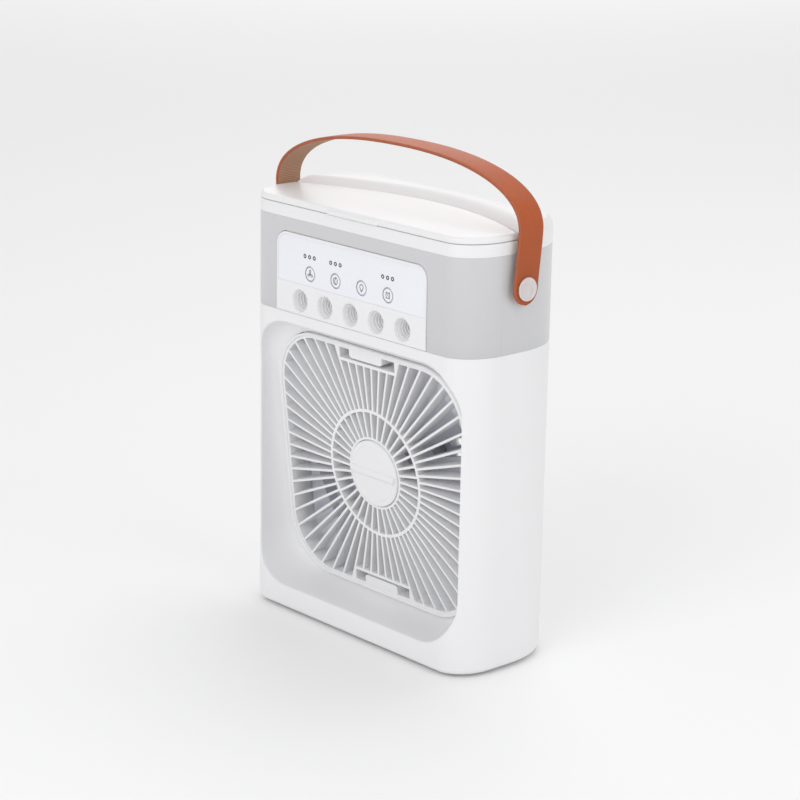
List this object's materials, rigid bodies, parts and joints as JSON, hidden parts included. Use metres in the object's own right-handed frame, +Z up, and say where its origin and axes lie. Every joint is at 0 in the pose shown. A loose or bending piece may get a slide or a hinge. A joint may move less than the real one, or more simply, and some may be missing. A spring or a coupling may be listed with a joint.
{
  "type": "misting fan",
  "caption": "Upright box-shaped tabletop fan with a tilted radial grille, a water tank and mist nozzles above it, a flip lid and a strap handle.",
  "frame": {"origin": "centre of the footprint, on the surface the rubber feet stand on", "axes": "+Z up, -Y out of the grille, +X to the right of the grille as seen from the front"},
  "size_m": [0.178, 0.074, 0.2509],
  "materials": {
    "board": "printed circuit board",
    "body_plastic": "satin white plastic",
    "button_print": "satin key with a thin grey ring and pictogram",
    "disc_brass": "thin vibrating metal disc",
    "fan_plastic": "pale lavender-grey plastic",
    "foot_rubber": "matt soft rubber",
    "grille_plastic": "satin white plastic",
    "inner_plastic": "pale grey plastic",
    "light_guide": "smoked light guide",
    "light_strip": "diffusing strip",
    "motor_can": "drawn steel can",
    "nozzle_plastic": "satin white plastic",
    "panel_film": "smooth lavender-white film",
    "rivet_pearl": "pearly translucent cap",
    "steel": "plain plated steel",
    "strap_leather": "smooth orange-brown synthetic leather, lighter ribbed inner face",
    "tank_plastic": "grey translucent plastic",
    "top_plastic": "satin white plastic",
    "wick_fibre": "pressed cotton fibre"
  },
  "bodies": {
    "body": {"control_board": "board", "control_panel": "body_plastic", "cover_screw_1": "steel", "cover_screw_2": "steel", "cover_screw_3": "steel", "cover_screw_4": "steel", "fan_shroud": "inner_plastic", "foot_1": "foot_rubber", "foot_2": "foot_rubber", "foot_3": "foot_rubber", "foot_4": "foot_rubber", "front_grille": "grille_plastic", "grille_hub_cap": "grille_plastic", "hinge_pin_1": "steel", "hinge_pin_2": "steel", "light_guide_1": "light_guide", "light_guide_2": "light_guide", "light_guide_3": "light_guide", "light_strip": "light_strip", "lower_housing": "body_plastic", "main_board": "board", "mist_disc_1": "disc_brass", "mist_disc_2": "disc_brass", "mist_disc_3": "disc_brass", "mist_disc_4": "disc_brass", "mist_disc_5": "disc_brass", "mist_nozzle_1": "nozzle_plastic", "mist_nozzle_2": "nozzle_plastic", "mist_nozzle_3": "nozzle_plastic", "mist_nozzle_4": "nozzle_plastic", "mist_nozzle_5": "nozzle_plastic", "motor": "motor_can", "panel_film": "panel_film", "power_socket": "steel", "rear_cap": "top_plastic", "rear_cover": "body_plastic", "rear_guard": "inner_plastic", "strap_rivet_1": "rivet_pearl", "strap_rivet_2": "rivet_pearl", "tank_rim": "top_plastic", "water_tank": "tank_plastic", "wick_1": "wick_fibre", "wick_2": "wick_fibre", "wick_3": "wick_fibre", "wick_4": "wick_fibre", "wick_5": "wick_fibre"},
    "lid": {"lid": "top_plastic"},
    "strap": {"strap": "strap_leather"},
    "fan": {"impeller": "fan_plastic", "impeller_nut": "steel", "motor_shaft": "steel"},
    "button_1": {"button_1": "button_print"},
    "button_2": {"button_2": "button_print"},
    "button_3": {"button_3": "button_print"},
    "button_4": {"button_4": "button_print"}
  },
  "joints": [
    {"name": "lid_hinge", "type": "hinge", "parent": "body", "child": "lid", "pos_m": [0, 0.0132, 0.2146], "axis": [-1, 0, 0], "range_deg": [0, 18]},
    {"name": "strap_swing", "type": "hinge", "parent": "body", "child": "strap", "pos_m": [0, -0.0027, 0.1923], "axis": [-1, 0, 0], "range_deg": [-90, 90]},
    {"name": "fan_spin", "type": "hinge", "parent": "body", "child": "fan", "pos_m": [0, -0.019, 0.0838], "axis": [0, -0.9942, -0.108], "continuous": true},
    {"name": "button_1_press", "type": "slide", "parent": "body", "child": "button_1", "axis": [0, 1, 0], "range_m": [0, 0.0005], "stiffness_N_per_m": 300, "springref_m": -0.001},
    {"name": "button_2_press", "type": "slide", "parent": "body", "child": "button_2", "axis": [0, 1, 0], "range_m": [0, 0.0005], "stiffness_N_per_m": 300, "springref_m": -0.001},
    {"name": "button_3_press", "type": "slide", "parent": "body", "child": "button_3", "axis": [0, 1, 0], "range_m": [0, 0.0005], "stiffness_N_per_m": 300, "springref_m": -0.001},
    {"name": "button_4_press", "type": "slide", "parent": "body", "child": "button_4", "axis": [0, 1, 0], "range_m": [0, 0.0005], "stiffness_N_per_m": 300, "springref_m": -0.001}
  ]
}
